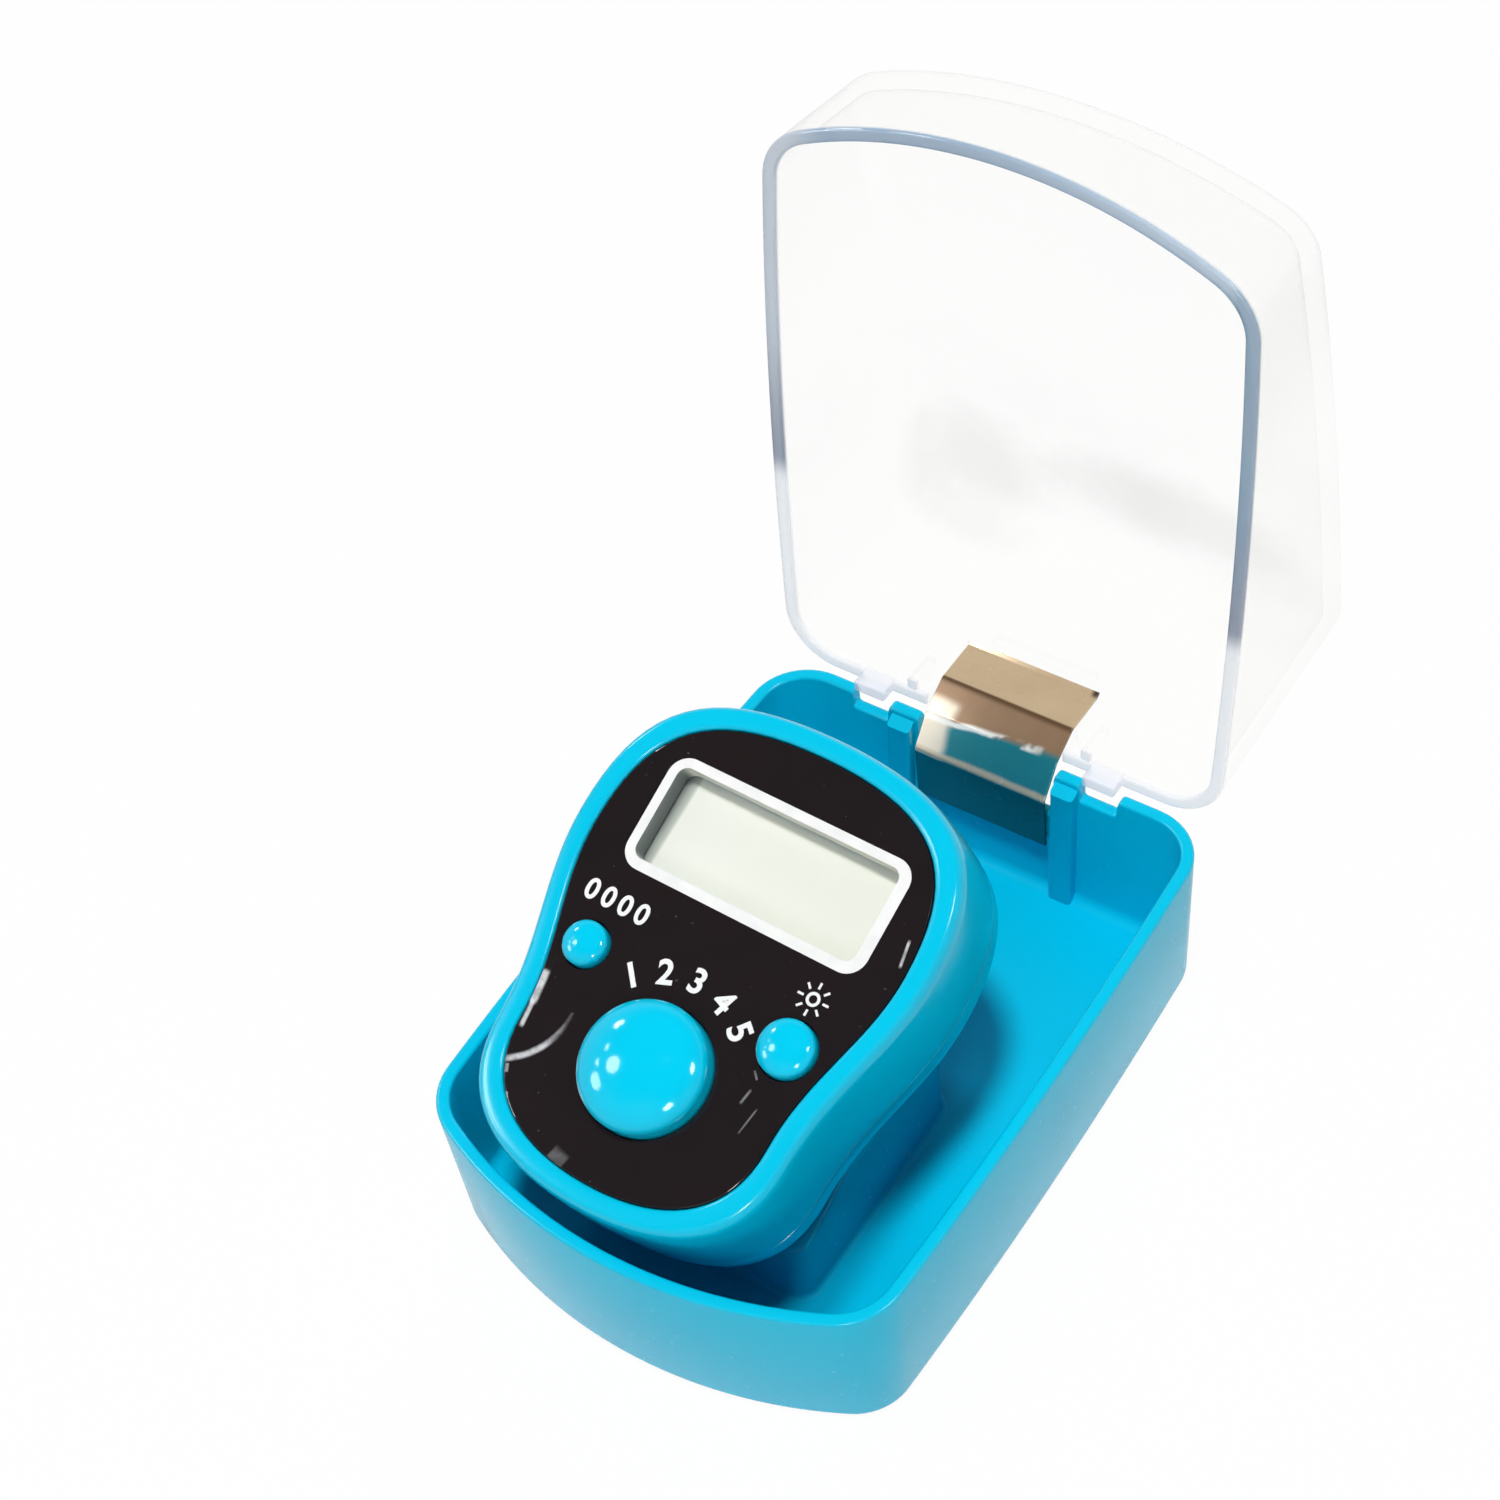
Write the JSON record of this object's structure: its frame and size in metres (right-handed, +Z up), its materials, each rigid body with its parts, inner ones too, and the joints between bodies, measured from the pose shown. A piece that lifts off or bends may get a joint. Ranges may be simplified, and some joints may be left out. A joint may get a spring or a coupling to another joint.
{
  "type": "finger counter",
  "caption": "Ring-worn electronic tally counter with a display and push buttons, standing tilted in its small display case with a clear hinged lid.",
  "frame": {"origin": "middle of the flat underside of the case, where the outline's centre lines cross", "axes": "+Z up; -Y towards the case's bowed front; +Y towards the hinge; +X to the right seen from the front"},
  "size_m": [0.0414, 0.0818, 0.072],
  "materials": {
    "cyan_plastic": "glossy, cyan blue",
    "clear_plastic": "clear, polished",
    "spring_steel": "bright rolled strip",
    "face_ink": "black under a glossy film",
    "display_grey": "satin grey-green",
    "guide_white": "milky",
    "lamp_white": "glossy",
    "rubber": "matte",
    "board_green": "solder mask",
    "epoxy": "black resin",
    "steel": "bright",
    "contact_metal": "plated strip"
  },
  "bodies": {
    "case": {"case_base": "cyan_plastic", "hinge_spring": "spring_steel"},
    "lid": {"case_lid": "clear_plastic"},
    "counter": {"front_shell": "cyan_plastic", "back_shell": "cyan_plastic", "face_film": "face_ink", "display_window": "clear_plastic", "display_glass": "display_grey", "light_guide": "guide_white", "lamp": "lamp_white", "rubber_connector": "rubber", "circuit_board": "board_green", "controller_chip": "epoxy", "button_cell": "steel", "positive_contact": "contact_metal", "negative_contact": "contact_metal", "battery_door": "cyan_plastic", "strap_buckle": "cyan_plastic", "strap_tongue": "cyan_plastic", "count_switch": "steel", "reset_switch": "steel", "led_switch": "steel", "screw_right": "steel", "screw_left": "steel", "screw_front_right": "steel", "screw_front_left": "steel"},
    "count_button": {"count_button": "cyan_plastic"},
    "reset_button": {"reset_button": "cyan_plastic"},
    "led_button": {"led_button": "cyan_plastic"}
  },
  "joints": [
    {"name": "lid_hinge", "type": "hinge", "parent": "case", "child": "lid", "pos_m": [0, 0.02865, 0.01495], "axis": [1, 0, 0], "range_deg": [0, 94], "deforming": ["hinge_spring"]},
    {"name": "counter_lift", "type": "slide", "parent": "case", "child": "counter", "axis": [0, 0, 1], "range_m": [0, 0.039]},
    {"name": "count_press", "type": "slide", "parent": "counter", "child": "count_button", "axis": [0.016, 0.3984, -0.9171], "range_m": [0, 0.0006], "stiffness_N_per_m": 800},
    {"name": "reset_press", "type": "slide", "parent": "counter", "child": "reset_button", "axis": [0.016, 0.3984, -0.9171], "range_m": [0, 0.0006], "stiffness_N_per_m": 800},
    {"name": "led_press", "type": "slide", "parent": "counter", "child": "led_button", "axis": [0.016, 0.3984, -0.9171], "range_m": [0, 0.0006], "stiffness_N_per_m": 800}
  ]
}
